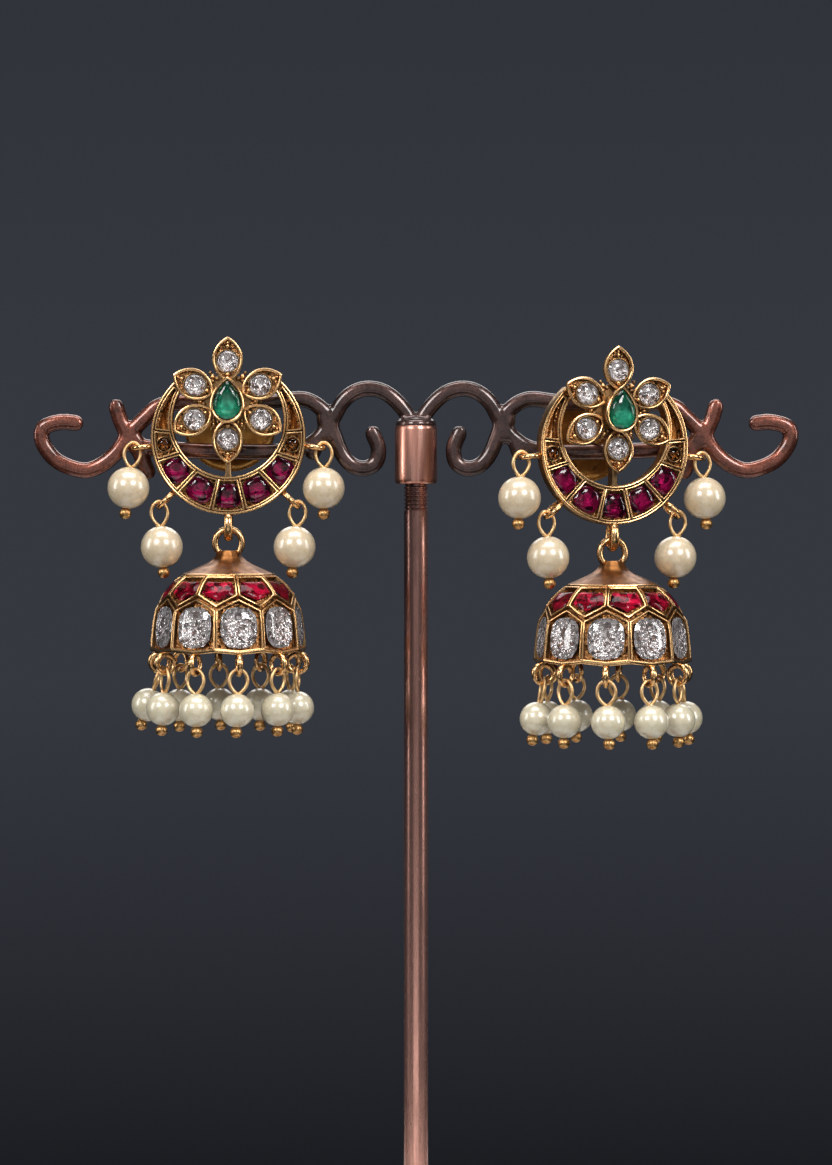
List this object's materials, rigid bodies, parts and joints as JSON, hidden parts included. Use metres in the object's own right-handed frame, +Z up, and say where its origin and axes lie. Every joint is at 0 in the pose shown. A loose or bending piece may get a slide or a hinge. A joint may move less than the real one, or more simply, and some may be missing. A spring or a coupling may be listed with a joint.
{
  "type": "pair of jhumka earrings on a display stand",
  "caption": "Pair of gold dome drop earrings with a flower and crescent stud, red, green and clear stones and pearl drops, hung on a scrolled copper display stand.",
  "frame": {"origin": "centre of the underside of the stand's base, on the table", "axes": "+Z up along the pole, -Y towards the viewer who faces the earrings, +X to the viewer's right along the crossbar"},
  "size_m": [0.091, 0.06, 0.1145],
  "materials": {
    "gold": "antique gold, bright edges with brown patina in the recesses",
    "wire": "polished gold wire and plate",
    "copper": "satin antique copper, darker towards the middle",
    "pearl": "glossy cream pearl with a soft sheen",
    "ruby": "polished magenta red cut stone",
    "emerald": "polished green cut stone"
  },
  "bodies": {
    "stand": {"stand_base": "copper", "stand_crossbar": "copper", "left_setting": "gold", "left_emerald": "emerald", "left_ear_back": "wire", "left_ruby_1": "ruby", "left_ruby_2": "ruby", "left_ruby_3": "ruby", "left_ruby_4": "ruby", "left_ruby_5": "ruby", "left_side_pearl_1": "pearl", "left_side_pearl_2": "pearl", "left_side_pearl_3": "pearl", "left_side_pearl_4": "pearl", "right_setting": "gold", "right_emerald": "emerald", "right_ear_back": "wire", "right_ruby_1": "ruby", "right_ruby_2": "ruby", "right_ruby_3": "ruby", "right_ruby_4": "ruby", "right_ruby_5": "ruby", "right_side_pearl_1": "pearl", "right_side_pearl_2": "pearl", "right_side_pearl_3": "pearl", "right_side_pearl_4": "pearl"},
    "left_drop": {"left_dome": "gold", "left_rim_pearl_1": "pearl", "left_rim_pearl_2": "pearl", "left_rim_pearl_3": "pearl", "left_rim_pearl_4": "pearl", "left_rim_pearl_5": "pearl", "left_rim_pearl_6": "pearl", "left_rim_pearl_7": "pearl", "left_rim_pearl_8": "pearl", "left_rim_pearl_9": "pearl", "left_rim_pearl_10": "pearl"},
    "right_drop": {"right_dome": "gold", "right_rim_pearl_1": "pearl", "right_rim_pearl_2": "pearl", "right_rim_pearl_3": "pearl", "right_rim_pearl_4": "pearl", "right_rim_pearl_5": "pearl", "right_rim_pearl_6": "pearl", "right_rim_pearl_7": "pearl", "right_rim_pearl_8": "pearl", "right_rim_pearl_9": "pearl", "right_rim_pearl_10": "pearl"}
  },
  "joints": [
    {"name": "left_dome_swing", "type": "hinge", "parent": "stand", "child": "left_drop", "pos_m": [-0.02231, -0.00255, 0.0917], "axis": [1, 0, 0], "range_deg": [-60, 60]},
    {"name": "right_dome_swing", "type": "hinge", "parent": "stand", "child": "right_drop", "pos_m": [0.02321, -0.00591, 0.0905], "axis": [0.9563, 0.2924, 0], "range_deg": [-60, 60]}
  ]
}
